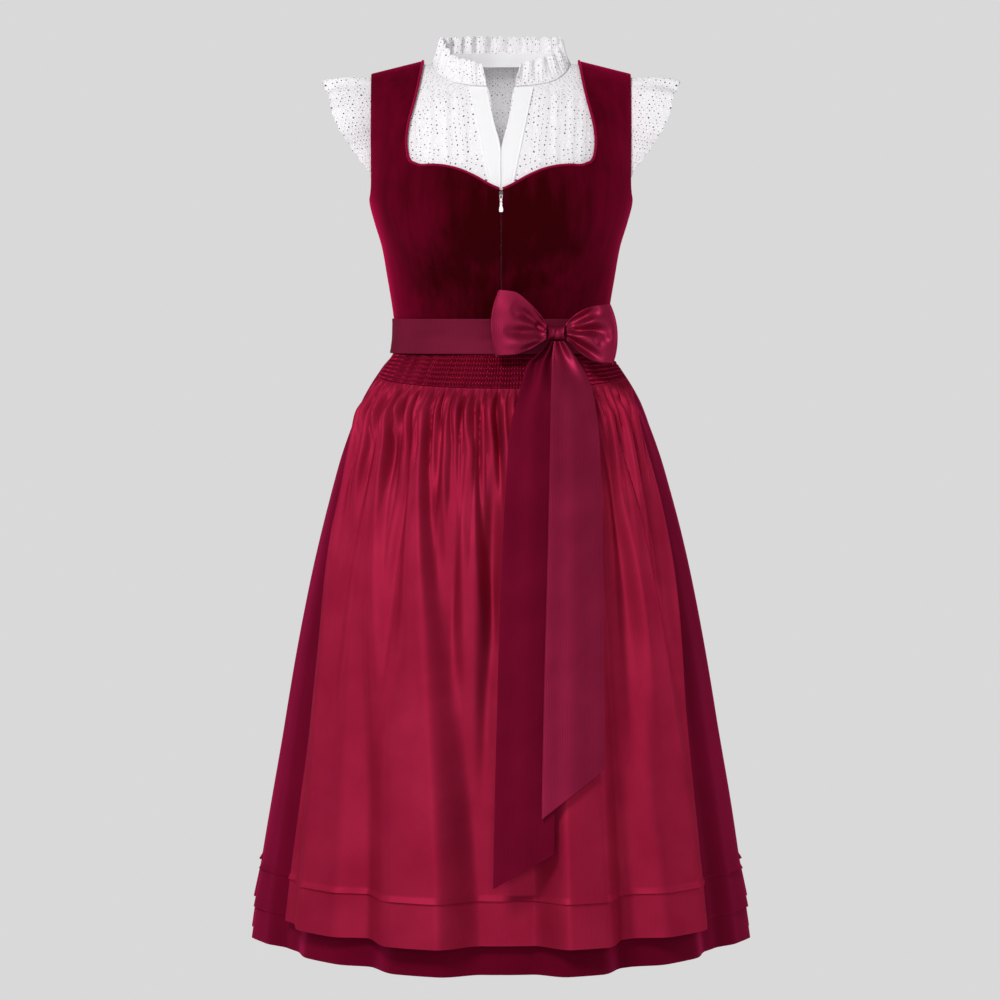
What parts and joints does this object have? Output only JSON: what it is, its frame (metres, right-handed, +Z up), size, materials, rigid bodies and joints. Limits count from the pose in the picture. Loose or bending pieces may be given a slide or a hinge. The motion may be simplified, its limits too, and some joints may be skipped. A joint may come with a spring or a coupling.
{
  "type": "dirndl",
  "caption": "Dirndl set filled out as if worn: eyelet blouse with stand collar and flutter sleeves, velvet bodice with front zip, gathered skirt, satin apron and tie bow.",
  "frame": {"origin": "midway between the shoulders, at the height where the straps bear on the wearer", "axes": "+Z up along the wearer's body, the front of the dress faces -Y, +X is the wearer's left"},
  "size_m": [0.6063, 0.5451, 1.0825],
  "materials": {
    "velvet": "short pile velvet, dark face on and bright at grazing angles",
    "velvet_piping": "rolled velvet bias edge",
    "zip_tape": "woven tape, matt",
    "zip_metal": "plated zinc, softly polished",
    "skirt_cotton": "plain cotton, matt",
    "eyelet_cotton": "cotton broderie anglaise with small stitched eyelets",
    "plain_cotton": "plain woven cotton",
    "apron_satin": "soft satin with a fine vertical rib",
    "ribbon_satin": "ribbed satin ribbon, soft sheen"
  },
  "bodies": {
    "dress": {"bodice_front_centre_left": "velvet", "bodice_front_centre_right": "velvet", "bodice_front_side_left": "velvet", "bodice_front_side_right": "velvet", "bodice_back_centre": "velvet", "bodice_back_side_left": "velvet", "bodice_back_side_right": "velvet", "piping_front_left": "velvet_piping", "piping_front_right": "velvet_piping", "piping_back": "velvet_piping", "zip_tape": "zip_tape", "zip_slider": "zip_metal", "skirt_front_left": "skirt_cotton", "skirt_front_right": "skirt_cotton", "skirt_back_left": "skirt_cotton", "skirt_back_right": "skirt_cotton", "blouse_front_left": "eyelet_cotton", "blouse_front_right": "eyelet_cotton", "blouse_back": "eyelet_cotton", "collar_frill": "eyelet_cotton", "sleeve_left": "eyelet_cotton", "sleeve_right": "eyelet_cotton", "placket_left": "plain_cotton", "placket_right": "plain_cotton", "collar_stand": "plain_cotton", "apron_smocking": "apron_satin", "apron_skirt": "apron_satin", "belt_front": "ribbon_satin", "belt_back": "ribbon_satin", "bow_loop_right": "ribbon_satin", "bow_loop_left": "ribbon_satin", "bow_knot": "ribbon_satin", "bow_tail_right": "ribbon_satin", "bow_tail_left": "ribbon_satin"},
    "zip_pull": {"zip_pull": "zip_metal"}
  },
  "joints": [
    {"name": "zip_pull_hinge", "type": "hinge", "parent": "dress", "child": "zip_pull", "pos_m": [0, -0.13378, -0.156], "axis": [-1, 0, 0], "range_deg": [0, 160]}
  ]
}
